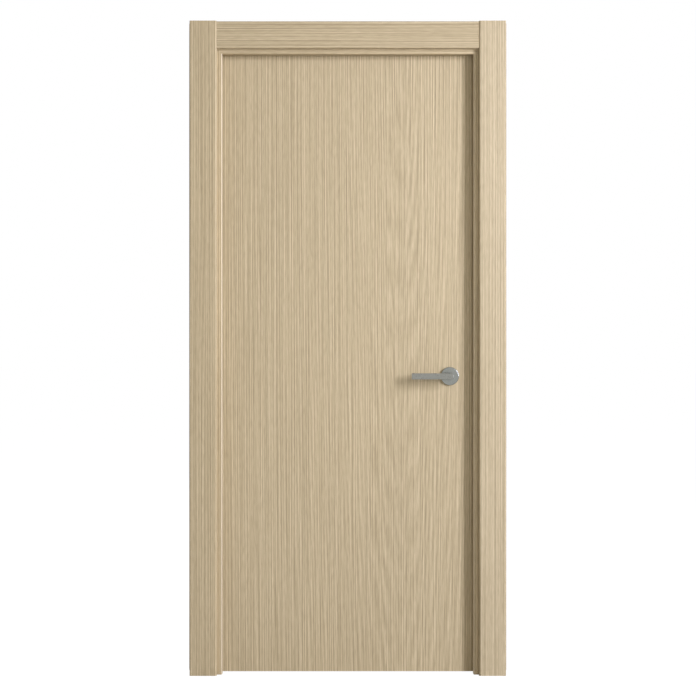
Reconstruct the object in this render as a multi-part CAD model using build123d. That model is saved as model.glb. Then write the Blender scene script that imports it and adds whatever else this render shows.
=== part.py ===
from build123d import *
import os

# Interior door set: a flush veneered leaf hung in a rebated frame, with flat casings on both wall faces.
# Millimetres. +X runs from the hinge side to the latch side, +Y through the wall towards the side the leaf
# opens to, +Z up. The origin is on the wall face of the hinge jamb, at the floor, at half the frame depth.

# Leaf
LEAF_WIDTH = 845
LEAF_HEIGHT = 2032
LEAF_THICKNESS = 40
FACE_THICKNESS = 4
LIPPING_THICKNESS = 6
LIPPING_EASE = 1
STILE_WIDTH = 45
RAIL_HEIGHT = 60

# Clearances round the shut leaf
HINGE_GAP = 5
LATCH_GAP = 6.5
HEAD_GAP = 6
FLOOR_GAP = 4
STOP_GAP = 5

# Frame section: a board with a rebate for the leaf, a seal groove in its stop and two casing grooves
FRAME_DEPTH = 70
JAMB_THICKNESS = 43
REBATE_WIDTH = 18
STOP_EASE = 2

# Seal pressed into the stop
SEAL_STEM_WIDTH = 3.5
SEAL_STEM_DEPTH = 6
SEAL_BULB_WIDTH = 7
SEAL_BULB_ROUNDING = 3
SEAL_CLEARANCE = 1

# Casings with a tongue that enters the edge of the frame
CASING_WIDTH = 88
SIDE_CASING_THICKNESS = 18
HEAD_CASING_THICKNESS = 14
SIDE_CASING_CHAMFER = 4.5
HEAD_CASING_CHAMFER = 1
CASING_OUTER_EASE = 2
CASING_HORN = 1
FRONT_REVEAL = 16
BACK_REVEAL = 9
TONGUE_INSET = 8
TONGUE_WIDTH = 5
TONGUE_LENGTH = 12
GROOVE_SIDE_CLEARANCE = 0.25
GROOVE_END_CLEARANCE = 2

# Lift-off hinges: a lower flag with the pin on the frame, an upper flag with the bore on the leaf
BARREL_RADIUS = 6
BARREL_STANDOFF = 1
BARREL_EASE = 1
PIN_RADIUS = 3.5
PIN_LENGTH = 40
PIN_CLEARANCE = 0.05
PIN_END_PLAY = 2
FLAG_HEIGHT = 50
FLAG_LENGTH = 26
FLAG_THICKNESS = 2.5
FLAG_CORNER = 6
HINGE_PLAY = 0.3
UPPER_HINGE_FROM_TOP = 200
LOWER_HINGE_FROM_BOTTOM = 250

# Lever handles on round roses
HANDLE_HEIGHT = 973
HANDLE_BACKSET = 87
ROSE_RADIUS = 30
ROSE_THICKNESS = 9
ROSE_WALL = 2
ROSE_EASE = 3
COLLAR_WALL = 3
LEVER_REACH = 127
LEVER_HEIGHT = 20
LEVER_THICKNESS = 9
LEVER_PROJECTION = 46
LEVER_EASE = 1.5
NECK_RADIUS = 7
NECK_FILLET = 1.2
NECK_CLEARANCE = 0.1
NECK_START = 1
SPINDLE_SIDE = 8
SPINDLE_GRIP = 22
SPINDLE_END_PLAY = 1
SPINDLE_HOLE_RADIUS = 8

# Tubular latch in the latch edge and its strike plate in the frame
FOREND_WIDTH = 25
FOREND_HEIGHT = 57
FOREND_THICKNESS = 3
FOREND_CORNER = 4
TUBE_RADIUS = 11
TUBE_WALL = 1.5
TUBE_PAST_SPINDLE = 16
TUBE_CLEARANCE = 0.3
BOLT_WIDTH = 11
BOLT_HEIGHT = 13
BOLT_LENGTH = 38
BOLT_BEVEL = 5.5
BOLT_CLEARANCE = 0.3
STRIKE_WIDTH = 25
STRIKE_HEIGHT = 70
STRIKE_THICKNESS = 2
STRIKE_CORNER = 4
STRIKE_LIP_HEIGHT = 34
KEEP_WIDTH = 14
KEEP_HEIGHT = 18
KEEP_DEPTH = 14

# Levels and planes that follow from the sizes above
REBATE_FACE = JAMB_THICKNESS - REBATE_WIDTH
LEAF_HINGE_EDGE = REBATE_FACE + HINGE_GAP
LEAF_LATCH_EDGE = LEAF_HINGE_EDGE + LEAF_WIDTH
LATCH_REBATE_FACE = LEAF_LATCH_EDGE + LATCH_GAP
FRAME_WIDTH = LATCH_REBATE_FACE + REBATE_FACE
FRAME_FRONT = -FRAME_DEPTH / 2
FRAME_BACK = FRAME_DEPTH / 2
LEAF_BACK = FRAME_BACK
LEAF_FRONT = LEAF_BACK - LEAF_THICKNESS
LEAF_MIDDLE = (LEAF_FRONT + LEAF_BACK) / 2
STOP_BACK = LEAF_FRONT - STOP_GAP
LEAF_BOTTOM = FLOOR_GAP
LEAF_TOP = LEAF_BOTTOM + LEAF_HEIGHT
FRAME_HEIGHT = LEAF_TOP + HEAD_GAP + REBATE_FACE
SEAL_LINE = (LEAF_HINGE_EDGE + JAMB_THICKNESS) / 2
FRONT_CASING_EDGE = JAMB_THICKNESS - FRONT_REVEAL
BACK_CASING_EDGE = REBATE_FACE - BACK_REVEAL
PIVOT_X = REBATE_FACE + HINGE_GAP / 2
PIVOT_Y = FRAME_BACK + BARREL_RADIUS + BARREL_STANDOFF
HANDLE_X = LEAF_LATCH_EDGE - HANDLE_BACKSET
CORE_HINGE_EDGE = LEAF_HINGE_EDGE + LIPPING_THICKNESS
CORE_LATCH_EDGE = LEAF_LATCH_EDGE - LIPPING_THICKNESS
CORE_FRONT = LEAF_FRONT + FACE_THICKNESS
CORE_BACK = LEAF_BACK - FACE_THICKNESS
LOWER_HINGE = LEAF_BOTTOM + LOWER_HINGE_FROM_BOTTOM
UPPER_HINGE = LEAF_TOP - UPPER_HINGE_FROM_TOP
HINGE_LEVELS = {
    "lower": LOWER_HINGE,
    "middle": (LOWER_HINGE + UPPER_HINGE) / 2,
    "upper": UPPER_HINGE,
}

# Frame sections are drawn with X as the distance in from the wall face and Y as the depth.
# The hinge side uses them as they are, the head turns X downwards, the latch side is the mirror image.
HEAD_PLANE = Plane(origin=(0, 0, FRAME_HEIGHT), x_dir=(0, 0, -1), z_dir=(1, 0, 0))
MIRROR_PLANE = Plane.YZ.offset(FRAME_WIDTH / 2)
HINGE_MITRE = Plane(origin=(0, 0, FRAME_HEIGHT), z_dir=(1, 0, 1))
LATCH_MITRE = Plane(origin=(FRAME_WIDTH, 0, FRAME_HEIGHT), z_dir=(-1, 0, 1))


def block(x_span, y_span, z_span):
    """Box between three (low, high) spans."""
    spans = (x_span, y_span, z_span)
    sizes = [high - low for low, high in spans]
    centre = [(high + low) / 2 for low, high in spans]
    return Pos(*centre) * Box(*sizes)


def round_bar(radius, plane, length):
    """Cylinder that starts on a plane and runs along its normal."""
    return extrude(plane * Circle(radius), length)


def upright(section):
    """Hinge-side frame member, mitred at its top."""
    bar = extrude(section, FRAME_HEIGHT)
    return split(bar, bisect_by=HINGE_MITRE, keep=Keep.BOTTOM)


def lintel(section):
    """Head frame member, mitred at both ends."""
    bar = extrude(HEAD_PLANE * section, FRAME_WIDTH)
    bar = split(bar, bisect_by=HINGE_MITRE, keep=Keep.TOP)
    return split(bar, bisect_by=LATCH_MITRE, keep=Keep.TOP)


def to_latch_side(piece):
    return mirror(piece, about=MIRROR_PLANE)


# Frame members
def casing_groove(casing_edge, frame_edge, inward):
    width = TONGUE_WIDTH + 2 * GROOVE_SIDE_CLEARANCE
    depth = TONGUE_LENGTH + GROOVE_END_CLEARANCE
    centre = frame_edge + inward * depth / 2
    return Pos(casing_edge - TONGUE_INSET, centre) * Rectangle(width, depth)


def seal_stem():
    centre = STOP_BACK - SEAL_STEM_DEPTH / 2
    return Pos(SEAL_LINE, centre) * Rectangle(SEAL_STEM_WIDTH, SEAL_STEM_DEPTH)


def frame_section():
    outline = Polygon(
        (0, FRAME_FRONT),
        (JAMB_THICKNESS - STOP_EASE, FRAME_FRONT),
        (JAMB_THICKNESS, FRAME_FRONT + STOP_EASE),
        (JAMB_THICKNESS, STOP_BACK),
        (REBATE_FACE, STOP_BACK),
        (REBATE_FACE, FRAME_BACK),
        (0, FRAME_BACK),
    )
    front_groove = casing_groove(FRONT_CASING_EDGE, FRAME_FRONT, 1)
    back_groove = casing_groove(BACK_CASING_EDGE, FRAME_BACK, -1)
    return outline - seal_stem() - front_groove - back_groove


def seal_section():
    bulb_height = STOP_GAP - SEAL_CLEARANCE
    bulb = Pos(SEAL_LINE, STOP_BACK + bulb_height / 2) * Rectangle(SEAL_BULB_WIDTH, bulb_height)
    bulb = fillet(bulb.vertices().group_by(Axis.Y)[-1], SEAL_BULB_ROUNDING)
    return seal_stem() + bulb


# Hinges
def flag_outline(y_start, z_span):
    """Plate seen along X, with its two buried corners rounded."""
    low, high = z_span
    far = FRAME_BACK - FLAG_LENGTH
    plate = Pos((far + y_start) / 2, (low + high) / 2) * Rectangle(y_start - far, high - low)
    return fillet(plate.vertices().group_by(Axis.X)[0], FLAG_CORNER)


def flag(x_low, y_start, z_span):
    return extrude(Plane.YZ.offset(x_low) * flag_outline(y_start, z_span), FLAG_THICKNESS)


def lower_span(level):
    return (level - FLAG_HEIGHT, level)


def upper_span(level):
    return (level + HINGE_PLAY, level + HINGE_PLAY + FLAG_HEIGHT)


def barrel(z_span, eased_end):
    low, high = z_span
    body = round_bar(BARREL_RADIUS, Plane((PIVOT_X, PIVOT_Y, low)), high - low)
    return fillet(body.edges().filter_by(GeomType.CIRCLE).group_by(Axis.Z)[eased_end], BARREL_EASE)


def frame_flag_pocket(level):
    return flag(REBATE_FACE - FLAG_THICKNESS, FRAME_BACK, lower_span(level))


def leaf_flag_pocket(level):
    return flag(LEAF_HINGE_EDGE, LEAF_BACK, upper_span(level))


def hinge_frame_half(level):
    plate = flag(REBATE_FACE - FLAG_THICKNESS, PIVOT_Y, lower_span(level))
    pin = round_bar(PIN_RADIUS, Plane((PIVOT_X, PIVOT_Y, level)), PIN_LENGTH)
    return plate + barrel(lower_span(level), 0) + pin


def hinge_leaf_half(level):
    plate = flag(LEAF_HINGE_EDGE, PIVOT_Y, upper_span(level))
    bore = round_bar(PIN_RADIUS + PIN_CLEARANCE, Plane((PIVOT_X, PIVOT_Y, level)), PIN_LENGTH + PIN_END_PLAY)
    return plate + barrel(upper_span(level), -1) - bore


# Casings
def casing_section(thickness, inner_chamfer):
    """Board with its inner edge at X = 0 and its wall face at Y = 0, the show face at -thickness."""
    return Polygon(
        (-CASING_WIDTH, 0),
        (-CASING_WIDTH, -thickness + CASING_OUTER_EASE),
        (-CASING_WIDTH + CASING_OUTER_EASE, -thickness),
        (-inner_chamfer, -thickness),
        (0, -thickness + inner_chamfer),
        (0, 0),
    )


def tongue_section():
    return Pos(-TONGUE_INSET, TONGUE_LENGTH / 2) * Rectangle(TONGUE_WIDTH, TONGUE_LENGTH)


def casing_set(casing_edge, frame_edge, facing):
    """Side casing on the hinge side and head casing for one wall face; facing is 1 in front, -1 behind."""
    head_bottom = FRAME_HEIGHT - casing_edge
    side_top = head_bottom + CASING_WIDTH + CASING_HORN
    tongue_top = head_bottom + TONGUE_INSET - TONGUE_WIDTH
    side_plane = Plane(origin=(casing_edge, 0, 0), x_dir=(1, 0, 0), z_dir=(0, 0, 1))
    side = extrude(side_plane * casing_section(SIDE_CASING_THICKNESS, SIDE_CASING_CHAMFER), side_top)
    side += extrude(side_plane * tongue_section(), tongue_top)
    head_plane = Plane(origin=(casing_edge, 0, head_bottom), x_dir=(0, 0, -1), z_dir=(1, 0, 0))
    head_length = FRAME_WIDTH - 2 * casing_edge
    head = extrude(head_plane * casing_section(HEAD_CASING_THICKNESS, HEAD_CASING_CHAMFER), head_length)
    head += extrude(head_plane * tongue_section(), head_length)
    if facing < 0:
        side = mirror(side, about=Plane.XZ)
        head = mirror(head, about=Plane.XZ)
    place = Pos(0, frame_edge, 0)
    return place * side, place * head


# Leaf pieces
def handle_bore(radius, y_span):
    low, high = y_span
    return round_bar(radius, Plane(origin=(HANDLE_X, low, HANDLE_HEIGHT), z_dir=(0, 1, 0)), high - low)


def face_panel(y_span):
    panel = block((CORE_HINGE_EDGE, CORE_LATCH_EDGE), y_span, (LEAF_BOTTOM, LEAF_TOP))
    return panel - handle_bore(SPINDLE_HOLE_RADIUS, y_span)


def lipping(x_span, outer_edge):
    strip = block(x_span, (LEAF_FRONT, LEAF_BACK), (LEAF_BOTTOM, LEAF_TOP))
    arrises = strip.edges().filter_by(Axis.Z).group_by(Axis.X)[outer_edge]
    return chamfer(arrises, LIPPING_EASE)


def stile(x_span):
    return block(x_span, (CORE_FRONT, CORE_BACK), (LEAF_BOTTOM, LEAF_TOP))


def rail(z_span):
    between = (CORE_HINGE_EDGE + STILE_WIDTH, CORE_LATCH_EDGE - STILE_WIDTH)
    return block(between, (CORE_FRONT, CORE_BACK), z_span)


# Latch
def latch_plane(x):
    """Plane across the latch line, facing out of the latch edge, with its X along Z."""
    return Plane(origin=(x, LEAF_MIDDLE, HANDLE_HEIGHT), x_dir=(0, 0, 1), z_dir=(1, 0, 0))


def forend_plate():
    plate = RectangleRounded(FOREND_HEIGHT, FOREND_WIDTH, FOREND_CORNER)
    return extrude(latch_plane(LEAF_LATCH_EDGE - FOREND_THICKNESS) * plate, FOREND_THICKNESS)


def latch_hole():
    start = HANDLE_X - TUBE_PAST_SPINDLE
    return round_bar(TUBE_RADIUS + TUBE_CLEARANCE, latch_plane(start), LEAF_LATCH_EDGE - start)


def latch_case():
    start = HANDLE_X - TUBE_PAST_SPINDLE
    mouth = Rectangle(BOLT_HEIGHT + 2 * BOLT_CLEARANCE, BOLT_WIDTH + 2 * BOLT_CLEARANCE)
    tube = round_bar(TUBE_RADIUS, latch_plane(start), LEAF_LATCH_EDGE - FOREND_THICKNESS - start)
    tube -= round_bar(TUBE_RADIUS - TUBE_WALL, latch_plane(start), LEAF_LATCH_EDGE - FOREND_THICKNESS - start)
    tube -= handle_bore(SPINDLE_HOLE_RADIUS, (LEAF_FRONT, LEAF_BACK))
    forend = forend_plate() - extrude(latch_plane(LEAF_LATCH_EDGE) * mouth, -FOREND_THICKNESS)
    return forend + tube


def latch_bolt():
    body = extrude(latch_plane(LEAF_LATCH_EDGE) * Rectangle(BOLT_HEIGHT, BOLT_WIDTH), -BOLT_LENGTH)
    nose = body.edges().filter_by(Axis.Z).group_by(Axis.X)[-1].sort_by(Axis.Y)[-1]
    return chamfer(nose, BOLT_BEVEL)


# Strike plate in the rebate face of the latch jamb
def strike_blank():
    plate = RectangleRounded(STRIKE_HEIGHT, STRIKE_WIDTH, STRIKE_CORNER)
    solid = extrude(latch_plane(LATCH_REBATE_FACE) * plate, STRIKE_THICKNESS)
    lip_y = (LEAF_MIDDLE, FRAME_BACK)
    lip_z = (HANDLE_HEIGHT - STRIKE_LIP_HEIGHT / 2, HANDLE_HEIGHT + STRIKE_LIP_HEIGHT / 2)
    return solid + block((LATCH_REBATE_FACE, LATCH_REBATE_FACE + STRIKE_THICKNESS), lip_y, lip_z)


def keep_hole(depth):
    return extrude(latch_plane(LATCH_REBATE_FACE) * Rectangle(KEEP_HEIGHT, KEEP_WIDTH), depth)


# Handles, drawn for the front of the leaf; the back ones are mirrored about the middle of the leaf
def rose():
    inner = NECK_RADIUS + NECK_CLEARANCE
    profile = Polygon(
        (inner, 0),
        (inner + COLLAR_WALL, 0),
        (inner + COLLAR_WALL, ROSE_THICKNESS - ROSE_WALL),
        (ROSE_RADIUS - ROSE_WALL, ROSE_THICKNESS - ROSE_WALL),
        (ROSE_RADIUS - ROSE_WALL, 0),
        (ROSE_RADIUS, 0),
        (ROSE_RADIUS, ROSE_THICKNESS),
        (inner, ROSE_THICKNESS),
    )
    corner = profile.vertices().sort_by(Axis.X)[-2:].sort_by(Axis.Y)[-1]
    profile = fillet(corner, ROSE_EASE)
    axis_plane = Plane(origin=(HANDLE_X, LEAF_FRONT, HANDLE_HEIGHT), x_dir=(1, 0, 0), z_dir=(0, 0, 1))
    turned = axis_plane * mirror(profile, about=Plane.XZ)
    return revolve(turned, Axis((HANDLE_X, LEAF_FRONT, HANDLE_HEIGHT), (0, 1, 0)))


def lever():
    half = LEVER_HEIGHT / 2
    bar_front = LEAF_FRONT - LEVER_PROJECTION
    bar_back = bar_front + LEVER_THICKNESS
    front_plane = Plane(origin=(HANDLE_X, bar_back, HANDLE_HEIGHT), x_dir=(1, 0, 0), z_dir=(0, -1, 0))
    outline = Pos(-LEVER_REACH / 2, 0) * Rectangle(LEVER_REACH, LEVER_HEIGHT) + Circle(half)
    bar = extrude(front_plane * outline, LEVER_THICKNESS)
    bar = fillet(bar.faces().sort_by(Axis.Y)[0].edges(), LEVER_EASE)
    bar = fillet(bar.faces().sort_by(Axis.Y)[-1].edges(), LEVER_EASE)
    neck_plane = Plane(origin=(HANDLE_X, LEAF_FRONT - NECK_START, HANDLE_HEIGHT), z_dir=(0, -1, 0))
    neck = round_bar(NECK_RADIUS, neck_plane, LEVER_PROJECTION - LEVER_THICKNESS - NECK_START)
    whole = bar + neck
    root = whole.edges().filter_by(GeomType.CIRCLE).filter_by_position(Axis.Y, bar_back, bar_back)
    whole = fillet(root.sort_by(SortBy.RADIUS)[0], NECK_FILLET)
    socket = Rectangle(SPINDLE_SIDE, SPINDLE_SIDE)
    return whole - extrude(neck_plane * socket, SPINDLE_GRIP + SPINDLE_END_PLAY)


def spindle():
    half = SPINDLE_SIDE / 2
    along = (LEAF_FRONT - NECK_START - SPINDLE_GRIP, LEAF_BACK + NECK_START + SPINDLE_GRIP)
    return block((HANDLE_X - half, HANDLE_X + half), along, (HANDLE_HEIGHT - half, HANDLE_HEIGHT + half))


def to_back(piece):
    return mirror(piece, about=Plane.XZ.offset(-LEAF_MIDDLE))


# Assemble the named pieces
pieces = {}

hinge_jamb = upright(frame_section())
latch_jamb = to_latch_side(hinge_jamb)
for level in HINGE_LEVELS.values():
    hinge_jamb -= frame_flag_pocket(level)
pieces["hinge_jamb"] = hinge_jamb
pieces["latch_jamb"] = latch_jamb - strike_blank() - keep_hole(STRIKE_THICKNESS + KEEP_DEPTH)
pieces["head_jamb"] = lintel(frame_section())

pieces["hinge_side_seal"] = upright(seal_section())
pieces["latch_side_seal"] = to_latch_side(pieces["hinge_side_seal"])
pieces["head_seal"] = lintel(seal_section())

front_side, front_head = casing_set(FRONT_CASING_EDGE, FRAME_FRONT, 1)
back_side, back_head = casing_set(BACK_CASING_EDGE, FRAME_BACK, -1)
pieces["front_hinge_casing"] = front_side
pieces["front_latch_casing"] = to_latch_side(front_side)
pieces["front_head_casing"] = front_head
pieces["back_hinge_casing"] = back_side
pieces["back_latch_casing"] = to_latch_side(back_side)
pieces["back_head_casing"] = back_head

pieces["strike_plate"] = strike_blank() - keep_hole(STRIKE_THICKNESS)

for name, level in HINGE_LEVELS.items():
    pieces[f"{name}_hinge_frame_half"] = hinge_frame_half(level)
    pieces[f"{name}_hinge_leaf_half"] = hinge_leaf_half(level)

pieces["front_face_panel"] = face_panel((LEAF_FRONT, CORE_FRONT))
pieces["back_face_panel"] = face_panel((CORE_BACK, LEAF_BACK))
hinge_lipping = lipping((LEAF_HINGE_EDGE, CORE_HINGE_EDGE), 0)
for level in HINGE_LEVELS.values():
    hinge_lipping -= leaf_flag_pocket(level)
pieces["hinge_lipping"] = hinge_lipping
pieces["latch_lipping"] = lipping((CORE_LATCH_EDGE, LEAF_LATCH_EDGE), -1) - forend_plate() - latch_hole()
pieces["hinge_stile"] = stile((CORE_HINGE_EDGE, CORE_HINGE_EDGE + STILE_WIDTH))
pieces["latch_stile"] = stile((CORE_LATCH_EDGE - STILE_WIDTH, CORE_LATCH_EDGE)) - latch_hole()
pieces["top_rail"] = rail((LEAF_TOP - RAIL_HEIGHT, LEAF_TOP))
pieces["bottom_rail"] = rail((LEAF_BOTTOM, LEAF_BOTTOM + RAIL_HEIGHT))

pieces["latch_case"] = latch_case()
pieces["latch_bolt"] = latch_bolt()
pieces["front_rose"] = rose()
pieces["back_rose"] = to_back(pieces["front_rose"])
pieces["front_lever"] = lever()
pieces["back_lever"] = to_back(pieces["front_lever"])
pieces["spindle"] = spindle()

os.makedirs("parts", exist_ok=True)
for name, piece in pieces.items():
    export_step(piece, f"parts/{name}.step")
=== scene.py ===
import math

import bmesh
import bpy
from mathutils import Matrix, Vector


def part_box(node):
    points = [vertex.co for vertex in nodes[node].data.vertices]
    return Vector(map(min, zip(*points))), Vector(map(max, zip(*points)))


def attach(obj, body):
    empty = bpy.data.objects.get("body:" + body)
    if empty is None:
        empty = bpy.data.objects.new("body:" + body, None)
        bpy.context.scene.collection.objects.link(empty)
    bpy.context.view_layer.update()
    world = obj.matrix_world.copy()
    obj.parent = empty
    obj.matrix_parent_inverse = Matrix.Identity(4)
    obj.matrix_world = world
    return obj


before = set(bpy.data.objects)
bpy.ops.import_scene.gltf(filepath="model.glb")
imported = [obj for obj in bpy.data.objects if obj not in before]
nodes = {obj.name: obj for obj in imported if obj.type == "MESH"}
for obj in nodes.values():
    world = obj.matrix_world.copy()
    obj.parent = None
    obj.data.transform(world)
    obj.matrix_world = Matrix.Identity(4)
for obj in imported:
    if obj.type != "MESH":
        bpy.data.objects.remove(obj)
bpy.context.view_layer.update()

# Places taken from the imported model, in metres
hinge_casing_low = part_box("front_hinge_casing")[0]
latch_casing_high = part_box("front_latch_casing")[1]
SHOW_PLANE = hinge_casing_low.y
DOOR_CENTRE_X = (hinge_casing_low.x + latch_casing_high.x) / 2

# Camera, straight on at about half the height of the door
LENS = 70
SENSOR_WIDTH = 36
CAMERA_ASIDE = 0.0006
CAMERA_DISTANCE = 4.396
CAMERA_HEIGHT = 1.0653

# Light: a tall softbox from the right, a weak narrow fill, a softbox for the back, and warm ambient light
WHITE = (1.0, 1.0, 1.0)
DOOR_MIDDLE = Vector((0.45, 0.0, 1.10))
KEY_PLACE = Vector((5.00, -3.75, 2.80))
KEY_SIZE = (1.1, 3.2)
KEY_POWER = 415
KEY_COLOUR = (0.97, 1.0, 1.22)
FILL_PLACE = Vector((1.60, -4.80, 1.75))
FILL_AIM = Vector((0.75, 0.0, 1.40))
FILL_SIZE = (1.0, 1.0)
FILL_POWER = 3.4
FILL_SPREAD = math.radians(50)
BACK_PLACE = Vector((-3.60, 4.20, 2.80))
BACK_POWER = 330
AMBIENT = (0.335, 0.312, 0.270)
FLOOR_REACH = 60.0
FLOOR_WHITE_SHARE = 0.78
FLOOR_GREY = 0.48


# Shader graph helpers
def new_material(name):
    material = bpy.data.materials.new(name)
    material.use_nodes = True
    tree = material.node_tree
    shader = tree.nodes["Principled BSDF"]
    return material, tree, shader


def feed(tree, socket, value):
    """Links a socket, or writes a constant."""
    if isinstance(value, bpy.types.NodeSocket):
        tree.links.new(value, socket)
    else:
        socket.default_value = value


def maths(tree, operation, first, second=0.0, third=0.0):
    node = tree.nodes.new("ShaderNodeMath")
    node.operation = operation
    for socket, value in zip(node.inputs, (first, second, third)):
        feed(tree, socket, value)
    return node.outputs[0]


def combine(tree, x, y, z):
    node = tree.nodes.new("ShaderNodeCombineXYZ")
    for socket, value in zip(node.inputs, (x, y, z)):
        feed(tree, socket, value)
    return node.outputs[0]


def split(tree, vector):
    node = tree.nodes.new("ShaderNodeSeparateXYZ")
    tree.links.new(vector, node.inputs[0])
    return node.outputs


def noise(tree, vector, detail):
    node = tree.nodes.new("ShaderNodeTexNoise")
    node.inputs["Scale"].default_value = 1.0
    node.inputs["Detail"].default_value = detail
    node.inputs["Roughness"].default_value = 0.5
    tree.links.new(vector, node.inputs["Vector"])
    return node.outputs["Fac"]


def scaled_noise(tree, place, per_metre, detail=2.0):
    """Noise with its own number of steps per metre on each axis."""
    steps = [maths(tree, "MULTIPLY", value, scale) for value, scale in zip(place, per_metre)]
    return noise(tree, combine(tree, *steps), detail)


def ramp(tree, value, stops, colours):
    node = tree.nodes.new("ShaderNodeValToRGB")
    elements = node.color_ramp.elements
    while len(elements) < len(stops):
        elements.new(0.5)
    for element, stop, colour in zip(elements, stops, colours):
        element.position = stop
        element.color = (*colour, 1.0)
    tree.links.new(value, node.inputs["Fac"])
    return node.outputs["Color"]


def smooth(tree, value, low, high):
    """0 below low, 1 above high."""
    node = tree.nodes.new("ShaderNodeMapRange")
    node.interpolation_type = "SMOOTHSTEP"
    node.inputs["From Min"].default_value = low
    node.inputs["From Max"].default_value = high
    tree.links.new(value, node.inputs["Value"])
    return node.outputs["Result"]


def mix(tree, factor, first, second, blend="MIX"):
    node = tree.nodes.new("ShaderNodeMix")
    node.data_type = "RGBA"
    node.blend_type = blend
    feed(tree, node.inputs["Factor"], factor)
    for socket, value in ((node.inputs["A"], first), (node.inputs["B"], second)):
        feed(tree, socket, value if isinstance(value, bpy.types.NodeSocket) else (*value, 1.0))
    return node.outputs["Result"]


def bump(tree, height, strength, distance):
    node = tree.nodes.new("ShaderNodeBump")
    node.inputs["Strength"].default_value = strength
    node.inputs["Distance"].default_value = distance
    tree.links.new(height, node.inputs["Height"])
    return node.outputs["Normal"]


def coordinates(tree):
    """The piece's own coordinates and its own normal, which turn with it."""
    node = tree.nodes.new("ShaderNodeTexCoord")
    return split(tree, node.outputs["Object"]), node.outputs["Normal"]


# Wood colours
OAK = {
    "dark": (0.298, 0.229, 0.121),
    "middle": (0.478, 0.377, 0.216),
    "light": (0.658, 0.537, 0.331),
    "pore": (0.288, 0.215, 0.111),
    # Colour of the painted highlight on eased edges
    "edge_highlight": (0.900, 0.790, 0.590),
}
PINE = {
    "dark": (0.470, 0.330, 0.180),
    "middle": (0.640, 0.500, 0.310),
    "light": (0.700, 0.570, 0.380),
    "pore": (0.470, 0.330, 0.190),
}
RAW_BOARD = ((0.40, 0.29, 0.18), (0.50, 0.38, 0.25))

# Noises of the wood: steps per metre across the grain, steps per metre along it, and a shift of the seed
DRIFT = (2.5, 0.8, 0.0)
RIPPLE = (14.0, 1.5, 2.0)
PATCH = (7.0, 0.8, 21.0)
LOOSENESS = (38.0, 0.5, 5.0)
FADE = (110.0, 1.2, 25.0)
FIBRE = (290.0, 1.0, 9.0)
FINE = (900.0, 3.0, 15.0)
DASH = (600.0, 36.0, 13.0)
PORES = (1500.0, 34.0, 17.0)
LINE_SHIFT = 0.4
STAGGER_PER_METRE = 260.0
STAGGER_PITCH = 200.0
STAGGER_SHIFTS = (0.6, 0.3)
CRUMB_PER_METRE = 700.0
CRUMB_DETAIL = 3.0

# Figure of the wood: how far the grain wanders, in metres, and how strongly each noise tells
DEPTH_SHARE = 0.83
DRIFT_REACH = 0.011
RIPPLE_REACH = 0.0022
RINGS_PER_METRE = 105.0
LOOSE_TURNS = 2.6
RING_SHARE = 0.07
HEART_RING_SHARE = 0.04
HEART_LIMITS = (0.004, 0.040)
FIBRE_NUDGE = 0.6
FIBRE_SHARE = 0.29
FINE_SHARE = 0.16
DASH_SHARE = 0.12
BASE_TONE = 0.36
TONE_STOPS = (0.34, 0.50, 0.66)
PORE_LIMITS = (0.60, 0.74)
PORE_SHARE = 0.40
PATCH_SHARE = 0.08
CRUMB_STOPS = (0.35, 0.65)

# Surface of the wood
WOOD_ROUGHNESS = 0.36
FINE_ROUGHNESS = 0.22
BARE_ROUGHNESS = 0.35
PORE_HEIGHT = -0.7
RING_HEIGHT = 0.25
WOOD_BUMP_STRENGTH = 0.30
WOOD_BUMP_DISTANCE = 0.0004
WOOD_SPECULAR = 0.40
EASED_LIMITS = (0.03, 0.15)
BARE_LIMITS = (0.80, 0.82)


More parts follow.
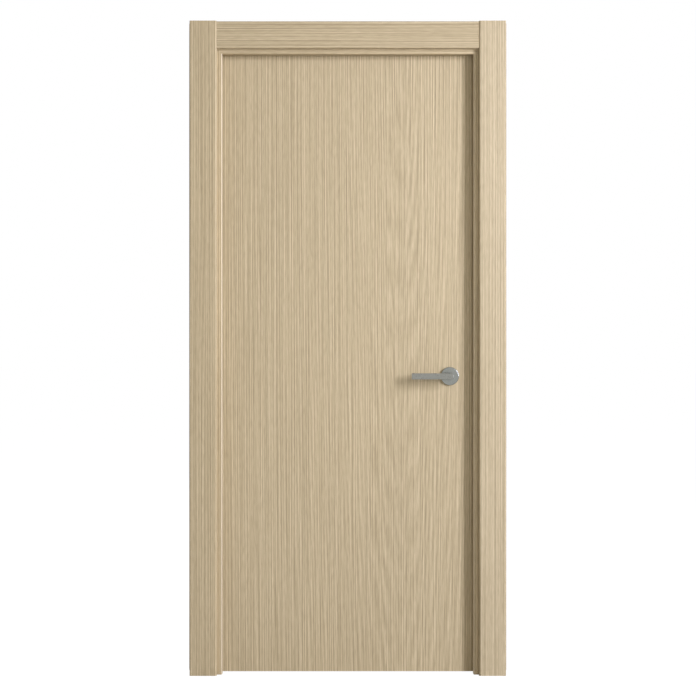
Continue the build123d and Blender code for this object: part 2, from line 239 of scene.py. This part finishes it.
def wood(name, along, seed, tint=WHITE, heart=None, raw=None, edge_highlight=0.0, palette=OAK):
    """Wood with its grain along X or Z.

    heart gives a flat-sawn figure's middle, level and slope, raw the way the bare side faces, and
    edge_highlight how strongly the eased edges get a painted highlight.
    """
    material, tree, shader = new_material(name)
    palette = {tone: tuple(c * t for c, t in zip(colour, tint)) for tone, colour in palette.items()}
    place, normal = coordinates(tree)
    x, y, z = place
    flat, length = (x, z) if along == "Z" else (z, x)
    across = maths(tree, "MULTIPLY_ADD", y, DEPTH_SHARE, flat)

    def broad(per_metre, stretch, shift):
        """Slow noise over the whole piece."""
        column = maths(tree, "MULTIPLY", across, per_metre)
        step = maths(tree, "MULTIPLY", length, stretch)
        return noise(tree, combine(tree, column, step, seed + shift), detail=1.0)

    ripple = maths(tree, "MULTIPLY", broad(*RIPPLE), RIPPLE_REACH)
    wander = maths(tree, "MULTIPLY_ADD", broad(*DRIFT), DRIFT_REACH, ripple)
    grain = maths(tree, "ADD", across, wander)
    figure = grain
    bold = RING_SHARE
    if heart is not None:
        middle, level, slope = heart
        aside = maths(tree, "SUBTRACT", across, middle)
        rise = maths(tree, "MULTIPLY", maths(tree, "SUBTRACT", length, level), slope)
        squared = maths(tree, "MULTIPLY_ADD", aside, aside, maths(tree, "MULTIPLY", rise, rise))
        from_heart = maths(tree, "SQRT", squared)
        figure = maths(tree, "ADD", from_heart, wander)
        clear = smooth(tree, maths(tree, "ABSOLUTE", aside), *HEART_LIMITS)
        bold = maths(tree, "MULTIPLY_ADD", clear, RING_SHARE - HEART_RING_SHARE, HEART_RING_SHARE)
    columns = maths(tree, "MULTIPLY", grain, STAGGER_PER_METRE)
    stagger = noise(tree, combine(tree, columns, *(seed + shift for shift in STAGGER_SHIFTS)), detail=1.0)

    def lines(per_metre, stretch, shift, nudge=0.0):
        """Noise drawn out along the grain, staggered from column to column."""
        column = maths(tree, "MULTIPLY_ADD", grain, per_metre, nudge)
        offset = maths(tree, "MULTIPLY", stagger, per_metre / STAGGER_PITCH)
        step = maths(tree, "MULTIPLY_ADD", length, stretch, offset)
        return noise(tree, combine(tree, column, step, seed + shift + LINE_SHIFT), detail=0.0)

    # Growth lines about every 10 mm, loosened and faded by slow noise, over fine fibres and short dashes
    loose = maths(tree, "MULTIPLY", lines(*LOOSENESS), LOOSE_TURNS)
    turns = maths(tree, "MULTIPLY_ADD", figure, RINGS_PER_METRE, loose)
    rings = maths(tree, "SINE", maths(tree, "MULTIPLY", turns, 2 * math.pi))
    strength = maths(tree, "MULTIPLY", lines(*FADE), bold)
    fibre = maths(tree, "SUBTRACT", lines(*FIBRE), lines(*FIBRE, nudge=FIBRE_NUDGE))
    fine = lines(*FINE)
    pores = smooth(tree, lines(*PORES), *PORE_LIMITS)
    tone = maths(tree, "MULTIPLY_ADD", lines(*DASH), DASH_SHARE, BASE_TONE)
    for value, share in ((fine, FINE_SHARE), (fibre, FIBRE_SHARE), (rings, strength)):
        tone = maths(tree, "MULTIPLY_ADD", value, share, tone)
    colour = ramp(tree, tone, TONE_STOPS, (palette["dark"], palette["middle"], palette["light"]))
    colour = mix(tree, maths(tree, "MULTIPLY", pores, PORE_SHARE), colour, palette["pore"])
    patch = maths(tree, "SUBTRACT", broad(*PATCH), 0.5)
    shade = maths(tree, "MULTIPLY_ADD", patch, PATCH_SHARE, 1.0)
    colour = mix(tree, 1.0, colour, combine(tree, shade, shade, shade), blend="MULTIPLY")
    rough = maths(tree, "MULTIPLY_ADD", fine, FINE_ROUGHNESS, WOOD_ROUGHNESS)
    height = maths(tree, "MULTIPLY_ADD", rings, RING_HEIGHT, fibre)
    height = maths(tree, "MULTIPLY_ADD", pores, PORE_HEIGHT, height)

    # Painted highlight: eased edges, whose normal lies along no axis, are painted lighter, as if they caught
    # the light
    sides = [maths(tree, "ABSOLUTE", side) for side in split(tree, normal)]
    if edge_highlight:
        squarest = maths(tree, "MAXIMUM", maths(tree, "MAXIMUM", sides[0], sides[1]), sides[2])
        eased = smooth(tree, maths(tree, "SUBTRACT", 1.0, squarest), *EASED_LIMITS)
        colour = mix(tree, maths(tree, "MULTIPLY", eased, edge_highlight), colour, palette["edge_highlight"])

    # Bare board shows on sawn ends and on the side towards the wall
    bare = smooth(tree, sides["XYZ".index(along)], *BARE_LIMITS)
    if raw is not None:
        facing = tree.nodes.new("ShaderNodeVectorMath")
        facing.operation = "DOT_PRODUCT"
        tree.links.new(normal, facing.inputs[0])
        facing.inputs[1].default_value = raw
        bare = maths(tree, "MAXIMUM", bare, smooth(tree, facing.outputs["Value"], *BARE_LIMITS))
    crumb = scaled_noise(tree, place, [CRUMB_PER_METRE] * 3, CRUMB_DETAIL)
    colour = mix(tree, bare, colour, ramp(tree, crumb, CRUMB_STOPS, RAW_BOARD))
    rough = maths(tree, "MULTIPLY_ADD", bare, BARE_ROUGHNESS, rough)
    tree.links.new(colour, shader.inputs["Base Color"])
    tree.links.new(rough, shader.inputs["Roughness"])
    tree.links.new(bump(tree, height, WOOD_BUMP_STRENGTH, WOOD_BUMP_DISTANCE), shader.inputs["Normal"])
    shader.inputs["Specular IOR Level"].default_value = WOOD_SPECULAR
    return material


# Metal and rubber
BRUSH_ALONG = 60.0
BRUSH_ACROSS = 2600.0
BRUSH_TONES = (0.90, 1.10)
BRUSH_STOPS = (0.35, 0.65)
BRUSH_ROUGHNESS = 0.12
BRUSH_BUMP_STRENGTH = 0.10
BRUSH_BUMP_DISTANCE = 0.00005
CLOUD_PER_METRE = 90.0
CLOUD_ROUGHNESS = 0.10
RUBBER_PER_METRE = 900.0
RUBBER_TONES = (0.85, 1.12)
RUBBER_STOPS = (0.3, 0.7)
RUBBER_ROUGHNESS = 0.6
RUBBER_GRAIN_ROUGHNESS = 0.2
RUBBER_BUMP_STRENGTH = 0.2
RUBBER_BUMP_DISTANCE = 0.0001


def shades(colour, tones):
    return [tuple(tone * c for c in colour) for tone in tones]


def satin_metal(name, colour, roughness, along):
    """Brushed metal with fine scratches along one axis."""
    material, tree, shader = new_material(name)
    place, _ = coordinates(tree)
    brushed = scaled_noise(tree, place, [BRUSH_ALONG if axis == along else BRUSH_ACROSS for axis in "XYZ"])
    cloud = scaled_noise(tree, place, [CLOUD_PER_METRE] * 3)
    smoothest = roughness - (BRUSH_ROUGHNESS + CLOUD_ROUGHNESS) / 2
    rough = maths(tree, "MULTIPLY_ADD", brushed, BRUSH_ROUGHNESS, smoothest)
    rough = maths(tree, "MULTIPLY_ADD", cloud, CLOUD_ROUGHNESS, rough)
    tree.links.new(ramp(tree, brushed, BRUSH_STOPS, shades(colour, BRUSH_TONES)), shader.inputs["Base Color"])
    tree.links.new(rough, shader.inputs["Roughness"])
    tree.links.new(bump(tree, brushed, BRUSH_BUMP_STRENGTH, BRUSH_BUMP_DISTANCE), shader.inputs["Normal"])
    shader.inputs["Metallic"].default_value = 1.0
    return material


def soft_rubber(name, colour):
    """Matt rubber with a fine grain."""
    material, tree, shader = new_material(name)
    place, _ = coordinates(tree)
    grain = scaled_noise(tree, place, [RUBBER_PER_METRE] * 3)
    rough = maths(tree, "MULTIPLY_ADD", grain, RUBBER_GRAIN_ROUGHNESS, RUBBER_ROUGHNESS)
    tree.links.new(ramp(tree, grain, RUBBER_STOPS, shades(colour, RUBBER_TONES)), shader.inputs["Base Color"])
    tree.links.new(rough, shader.inputs["Roughness"])
    tree.links.new(bump(tree, grain, RUBBER_BUMP_STRENGTH, RUBBER_BUMP_DISTANCE), shader.inputs["Normal"])
    return material


def dress(node, material):
    """Puts one material on every slot of a CAD piece."""
    slots = nodes[node].material_slots
    for place in slots:
        place.material = material
    if not slots:
        nodes[node].data.materials.append(material)


# Wooden pieces, with a seed of its own for each veneer and a shared one for stiles and for rails
WALL_SIDE = {"front": (0, 1, 0), "back": (0, -1, 0)}
SIDE_SEED = {"front": 1.0, "back": 141.0}
LEAF_HEART = (0.625, 2.35, 0.060)
LEAF_TINT = (0.99, 1.0, 1.01)
LEFT_TINT = (0.98, 0.985, 0.985)
# Painted sheen: the latch casings are painted lighter and less yellow, as on the side towards the key light
RIGHT_SHEEN_TINT = (1.01, 1.03, 1.07)
HEAD_TINT = (0.94, 0.945, 0.95)
# Strength of the painted highlight on the side jambs' eased edges; the head jamb's edges face down and get
# none
EDGE_HIGHLIGHT_SHARE = 0.55
for side, wall in WALL_SIDE.items():
    seed = SIDE_SEED[side]
    dress(f"{side}_hinge_casing", wood(f"oak_{side}_hinge_casing", "Z", seed + 3, LEFT_TINT, raw=wall))
    dress(f"{side}_latch_casing", wood(f"oak_{side}_latch_casing", "Z", seed + 31, RIGHT_SHEEN_TINT, raw=wall))
    dress(f"{side}_head_casing", wood(f"oak_{side}_head_casing", "X", seed + 57, HEAD_TINT, raw=wall))
    dress(f"{side}_face_panel", wood(f"oak_{side}_face_panel", "Z", seed + 83, LEAF_TINT, heart=LEAF_HEART))
dress("hinge_jamb", wood("oak_hinge_jamb", "Z", seed=11.0, raw=(-1, 0, 0), edge_highlight=EDGE_HIGHLIGHT_SHARE))
dress("latch_jamb", wood("oak_latch_jamb", "Z", seed=47.0, raw=(1, 0, 0), edge_highlight=EDGE_HIGHLIGHT_SHARE))
dress("head_jamb", wood("oak_head_jamb", "X", seed=71.0, raw=(0, 0, 1)))
dress("hinge_lipping", wood("oak_hinge_lipping", "Z", seed=91.0))
dress("latch_lipping", wood("oak_latch_lipping", "Z", seed=113.0))
stile_pine = wood("pine_stiles", "Z", seed=131.0, palette=PINE)
rail_pine = wood("pine_rails", "X", seed=151.0, palette=PINE)
for node in ("hinge_stile", "latch_stile"):
    dress(node, stile_pine)
for node in ("top_rail", "bottom_rail"):
    dress(node, rail_pine)

# Metal pieces and seals
HINGE_LEVELS = ("lower", "middle", "upper")
LEVER_COLOUR = (0.268, 0.268, 0.240)
ROSE_COLOUR = (0.282, 0.290, 0.266)
STEEL_COLOUR = (0.36, 0.37, 0.365)
SEAL_COLOUR = (0.30, 0.235, 0.150)
lever_nickel = satin_metal("satin_nickel_lever", LEVER_COLOUR, roughness=0.29, along="X")
rose_nickel = satin_metal("satin_nickel_rose", ROSE_COLOUR, roughness=0.23, along="Z")
hinge_steel = satin_metal("satin_steel_hinge", STEEL_COLOUR, roughness=0.36, along="Z")
latch_steel = satin_metal("satin_steel_latch", STEEL_COLOUR, roughness=0.34, along="Z")
beige_rubber = soft_rubber("beige_rubber", SEAL_COLOUR)
for side in WALL_SIDE:
    dress(f"{side}_lever", lever_nickel)
    dress(f"{side}_rose", rose_nickel)
for level in HINGE_LEVELS:
    dress(f"{level}_hinge_frame_half", hinge_steel)
    dress(f"{level}_hinge_leaf_half", hinge_steel)
for node in ("strike_plate", "latch_case", "latch_bolt", "spindle"):
    dress(node, latch_steel)
for node in ("hinge_side_seal", "latch_side_seal", "head_seal"):
    dress(node, beige_rubber)

# Raised countersunk screws with a cross recess, in metres and radians
SCREW_STEELS = {"hinge_steel": hinge_steel, "latch_steel": latch_steel}
SCREW_RADIUS = 0.0038
SCREW_RISE = 0.0007
SCREW_SEAT = 0.0003
SCREW_SIDES = 24
DOME_RINGS = 4
RECESS_ARM = 0.0022
RECESS_HALF = 0.0005
RECESS_TAPER = 0.8
RECESS_FLOOR = 0.0001
DOME_START = 1.12 * RECESS_ARM
FIRST_TURN = 0.3
NEXT_TURN = 0.7


def screw_mesh(book, place, turn):
    """Adds one closed screw head to a mesh, seated at place, with its axis along the turn's Z."""
    start = len(book.verts)
    arm, half = RECESS_ARM, RECESS_HALF
    cross = [(arm, half), (half, half), (half, arm), (-half, arm), (-half, half), (-arm, half),
             (-arm, -half), (-half, -half), (-half, -arm), (half, -arm), (half, -half), (arm, -half)]

    def dome(radius):
        return SCREW_RISE * (1 - (radius / SCREW_RADIUS) ** 2)

    def ring(radius, height):
        angles = [2 * math.pi * (k + 0.5) / SCREW_SIDES for k in range(SCREW_SIDES)]
        return [book.verts.new((radius * math.cos(a), radius * math.sin(a), height)) for a in angles]

    def band(inner, outer):
        for k in range(len(inner)):
            book.faces.new((inner[k - 1], inner[k], outer[k], outer[k - 1]))

    rim = [book.verts.new((x, y, dome(math.hypot(x, y)))) for x, y in cross]
    well = [book.verts.new((x * RECESS_TAPER, y * RECESS_TAPER, RECESS_FLOOR)) for x, y in cross]
    spacing = (SCREW_RADIUS - DOME_START) / (DOME_RINGS - 1)
    radii = [DOME_START + spacing * step for step in range(DOME_RINGS)]
    rings = [ring(radius, dome(radius)) for radius in radii] + [ring(SCREW_RADIUS, -SCREW_SEAT)]
    edges = [book.edges.new(pair) for loop in (rim, rings[0]) for pair in zip(loop, loop[1:] + loop[:1])]
    bmesh.ops.triangle_fill(book, use_beauty=True, edges=edges)
    band(well, rim)
    book.faces.new(well)
    for inner, outer in zip(rings, rings[1:]):
        band(inner, outer)
    book.faces.new(rings[-1])
    book.verts.ensure_lookup_table()
    matrix = Matrix.Translation(place) @ turn
    for vertex in book.verts[start:]:
        vertex.co = matrix @ vertex.co


def screws(name, body, slot, places, axis):
    """One piece with a screw at each place, each turned a little further than the last."""
    book = bmesh.new()
    turn = Vector(axis).to_track_quat("Z", "Y").to_matrix().to_4x4()
    for index, place in enumerate(places):
        screw_mesh(book, Vector(place), turn @ Matrix.Rotation(FIRST_TURN + NEXT_TURN * index, 4, "Z"))
    bmesh.ops.recalc_face_normals(book, faces=book.faces)
    mesh = bpy.data.meshes.new(name)
    book.to_mesh(mesh)
    book.free()
    mesh.materials.append(SCREW_STEELS[slot])
    piece = bpy.data.objects.new(name, mesh)
    bpy.context.scene.collection.objects.link(piece)
    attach(piece, body)


# Screw places: hinge flags on both sides of the hinge gap, forend and strike on both sides of the latch gap
TOWARDS_LATCH = (1, 0, 0)
TOWARDS_HINGE = (-1, 0, 0)
HINGE_GAP = 0.005
FLAG_HEIGHT = 0.050
FLAG_SCREW_END = 0.009
FLAG_SCREW_EDGE = 0.007
FLAG_SCREW_DEEP = 0.018
FOREND_SCREW_END = 0.0075
STRIKE_SCREW_END = 0.009
leaf_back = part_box("back_face_panel")[1].y
lipping_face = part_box("hinge_lipping")[0].x
case_low, case_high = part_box("latch_case")
latch_middle = (case_low.y + case_high.y) / 2
strike_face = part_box("strike_plate")[0].x


def flag_places(part, x):
    """Three screw places on each hinge flag of one body."""
    edge, deep = leaf_back - FLAG_SCREW_EDGE, leaf_back - FLAG_SCREW_DEEP
    places = []
    for level in HINGE_LEVELS:
        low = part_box(f"{level}_hinge_{part}_half")[0].z
        places += [(x, edge, low + FLAG_SCREW_END), (x, edge, low + FLAG_HEIGHT - FLAG_SCREW_END),
                   (x, deep, low + FLAG_HEIGHT / 2)]
    return places


def plate_places(node, x, end):
    """Two screw places on an upright plate at the latch."""
    low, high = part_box(node)
    return [(x, latch_middle, low.z + end), (x, latch_middle, high.z - end)]


frame_flags = flag_places("frame", lipping_face - HINGE_GAP)
leaf_flags = flag_places("leaf", lipping_face)
forend = plate_places("latch_case", case_high.x, FOREND_SCREW_END)
strike = plate_places("strike_plate", strike_face, STRIKE_SCREW_END)
screws("frame_hinge_screws", "frame", "hinge_steel", frame_flags, TOWARDS_LATCH)
screws("leaf_hinge_screws", "leaf", "hinge_steel", leaf_flags, TOWARDS_HINGE)
screws("forend_screws", "leaf", "latch_steel", forend, TOWARDS_LATCH)
screws("strike_screws", "frame", "latch_steel", strike, TOWARDS_HINGE)


# Floor, background, light and camera
def seen_rays(tree):
    """1 for rays that show the background: the camera's, and those off gloss and through glass."""
    path = tree.nodes.new("ShaderNodeLightPath")
    shown = maths(tree, "MAXIMUM", path.outputs["Is Camera Ray"], path.outputs["Is Glossy Ray"])
    return maths(tree, "MAXIMUM", shown, path.outputs["Is Transmission Ray"])


def add_floor():
    """A floor that takes the shadow. Far away, where only ambient light reaches it, it comes out white."""
    mesh = bpy.data.meshes.new("studio_floor")
    near, far = -FLOOR_REACH, FLOOR_REACH
    mesh.from_pydata([(near, near, 0), (far, near, 0), (far, far, 0), (near, far, 0)], [], [(0, 1, 2, 3)])
    floor = bpy.data.objects.new("studio_floor", mesh)
    bpy.context.scene.collection.objects.link(floor)
    material = bpy.data.materials.new("studio_white")
    material.use_nodes = True
    tree = material.node_tree
    tree.nodes.clear()
    output = tree.nodes.new("ShaderNodeOutputMaterial")
    blend = tree.nodes.new("ShaderNodeMixShader")
    matt = tree.nodes.new("ShaderNodeBsdfDiffuse")
    matt.inputs["Color"].default_value = (FLOOR_GREY, FLOOR_GREY, FLOOR_GREY, 1.0)
    glow = tree.nodes.new("ShaderNodeEmission")
    missing = [1.0 - (1.0 - FLOOR_WHITE_SHARE) * FLOOR_GREY * level for level in AMBIENT]
    glow.inputs["Color"].default_value = (*(level / max(missing) for level in missing), 1.0)
    glow.inputs["Strength"].default_value = max(missing) / FLOOR_WHITE_SHARE
    tree.links.new(maths(tree, "MULTIPLY", seen_rays(tree), FLOOR_WHITE_SHARE), blend.inputs[0])
    tree.links.new(matt.outputs[0], blend.inputs[1])
    tree.links.new(glow.outputs[0], blend.inputs[2])
    tree.links.new(blend.outputs[0], output.inputs["Surface"])
    mesh.materials.append(material)


def add_world():
    world = bpy.data.worlds.new("studio")
    bpy.context.scene.world = world
    world.use_nodes = True
    tree = world.node_tree
    background = tree.nodes["Background"]
    background.inputs["Strength"].default_value = 1.0
    tree.links.new(mix(tree, seen_rays(tree), AMBIENT, WHITE), background.inputs["Color"])


def add_softbox(name, place, aim, size, power, colour=WHITE, spread=math.pi):
    lamp = bpy.data.lights.new(name, "AREA")
    lamp.shape = "RECTANGLE"
    lamp.size, lamp.size_y = size
    lamp.energy = power
    lamp.color = colour
    lamp.spread = spread
    light = bpy.data.objects.new(name, lamp)
    light.location = place
    light.rotation_mode = "QUATERNION"
    light.rotation_quaternion = (aim - place).to_track_quat("-Z", "Y")
    bpy.context.scene.collection.objects.link(light)
    return light


def add_camera():
    data = bpy.data.cameras.new("camera")
    data.sensor_width = SENSOR_WIDTH
    data.lens = LENS
    camera = bpy.data.objects.new("camera", data)
    camera.location = (DOOR_CENTRE_X + CAMERA_ASIDE, SHOW_PLANE - CAMERA_DISTANCE, CAMERA_HEIGHT)
    camera.rotation_euler = (math.pi / 2, 0, 0)
    bpy.context.scene.collection.objects.link(camera)
    bpy.context.scene.camera = camera


add_floor()
add_world()
add_softbox("key", KEY_PLACE, DOOR_MIDDLE, KEY_SIZE, KEY_POWER, KEY_COLOUR)
fill = add_softbox("fill", FILL_PLACE, FILL_AIM, FILL_SIZE, FILL_POWER, spread=FILL_SPREAD)
fill.visible_glossy = False
add_softbox("back", BACK_PLACE, DOOR_MIDDLE, KEY_SIZE, BACK_POWER, KEY_COLOUR)
add_camera()
bpy.context.scene.view_settings.view_transform = "Standard"
